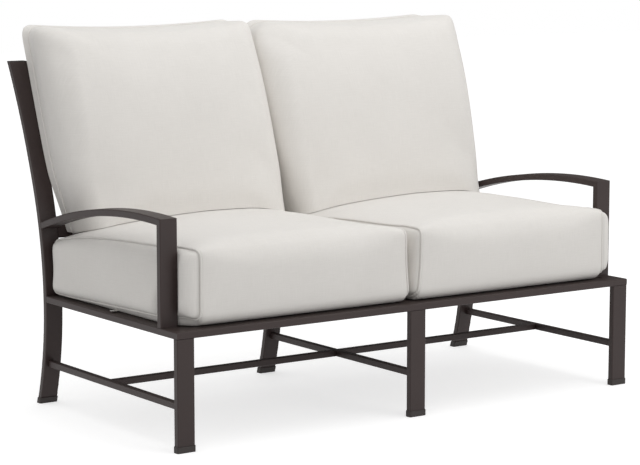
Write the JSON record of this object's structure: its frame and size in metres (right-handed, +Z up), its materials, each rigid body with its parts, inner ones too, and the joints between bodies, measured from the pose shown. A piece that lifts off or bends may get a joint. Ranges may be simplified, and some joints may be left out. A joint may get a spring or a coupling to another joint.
{
  "type": "patio loveseat",
  "caption": "Two-seat outdoor sofa: welded flat-tube frame with bowed arms, leaning slatted back and loose seat and back cushions.",
  "frame": {"origin": "on the floor, under the middle of the loveseat's box", "axes": "+X to the right seen from the front, +Y to the back, +Z up"},
  "size_m": [1.4034, 0.8304, 0.9488],
  "materials": {
    "frame_paint": "satin powder coat, dark bronze",
    "glide_plastic": "moulded, matt",
    "cap_plastic": "moulded, matt",
    "cover_fabric": "plain-woven outdoor fabric, off-white",
    "core_foam": "open-cell foam"
  },
  "bodies": {
    "frame": {"arm_left": "frame_paint", "arm_post_left": "frame_paint", "arm_post_right": "frame_paint", "arm_right": "frame_paint", "back_slat_left_1": "frame_paint", "back_slat_left_2": "frame_paint", "back_slat_left_3": "frame_paint", "back_slat_right_1": "frame_paint", "back_slat_right_2": "frame_paint", "back_slat_right_3": "frame_paint", "glide_back_centre": "glide_plastic", "glide_back_left": "glide_plastic", "glide_back_right": "glide_plastic", "glide_front_centre": "glide_plastic", "glide_front_left": "glide_plastic", "glide_front_right": "glide_plastic", "leg_front_centre": "frame_paint", "leg_front_left": "frame_paint", "leg_front_right": "frame_paint", "post_back_centre": "frame_paint", "post_back_left": "frame_paint", "post_back_right": "frame_paint", "post_cap_centre": "cap_plastic", "post_cap_left": "cap_plastic", "post_cap_right": "cap_plastic", "rail_back_lower_left": "frame_paint", "rail_back_lower_right": "frame_paint", "rail_back_top_left": "frame_paint", "rail_back_top_right": "frame_paint", "rail_seat_back": "frame_paint", "rail_seat_centre": "frame_paint", "rail_seat_front": "frame_paint", "rail_seat_left": "frame_paint", "rail_seat_right": "frame_paint", "seat_slat_left_1": "frame_paint", "seat_slat_left_2": "frame_paint", "seat_slat_left_3": "frame_paint", "seat_slat_left_4": "frame_paint", "seat_slat_left_5": "frame_paint", "seat_slat_left_6": "frame_paint", "seat_slat_right_1": "frame_paint", "seat_slat_right_2": "frame_paint", "seat_slat_right_3": "frame_paint", "seat_slat_right_4": "frame_paint", "seat_slat_right_5": "frame_paint", "seat_slat_right_6": "frame_paint", "stretcher_centre": "frame_paint", "stretcher_left": "frame_paint", "stretcher_long_left": "frame_paint", "stretcher_long_right": "frame_paint", "stretcher_right": "frame_paint"},
    "seat_cushion_left": {"seat_cushion_left_core": "core_foam", "seat_cushion_left_cover": "cover_fabric"},
    "seat_cushion_right": {"seat_cushion_right_core": "core_foam", "seat_cushion_right_cover": "cover_fabric"},
    "back_cushion_left": {"back_cushion_left_core": "core_foam", "back_cushion_left_cover": "cover_fabric"},
    "back_cushion_right": {"back_cushion_right_core": "core_foam", "back_cushion_right_cover": "cover_fabric"}
  },
  "joints": [
    {"name": "seat_cushion_left_draw", "type": "slide", "parent": "frame", "child": "seat_cushion_left", "axis": [0, -1, 0], "range_m": [0, 0.64]},
    {"name": "seat_cushion_right_draw", "type": "slide", "parent": "frame", "child": "seat_cushion_right", "axis": [0, -1, 0], "range_m": [0, 0.64]},
    {"name": "back_cushion_left_lift", "type": "slide", "parent": "frame", "child": "back_cushion_left", "axis": [0, 0, 1], "range_m": [0, 0.45]},
    {"name": "back_cushion_right_lift", "type": "slide", "parent": "frame", "child": "back_cushion_right", "axis": [0, 0, 1], "range_m": [0, 0.45]}
  ]
}
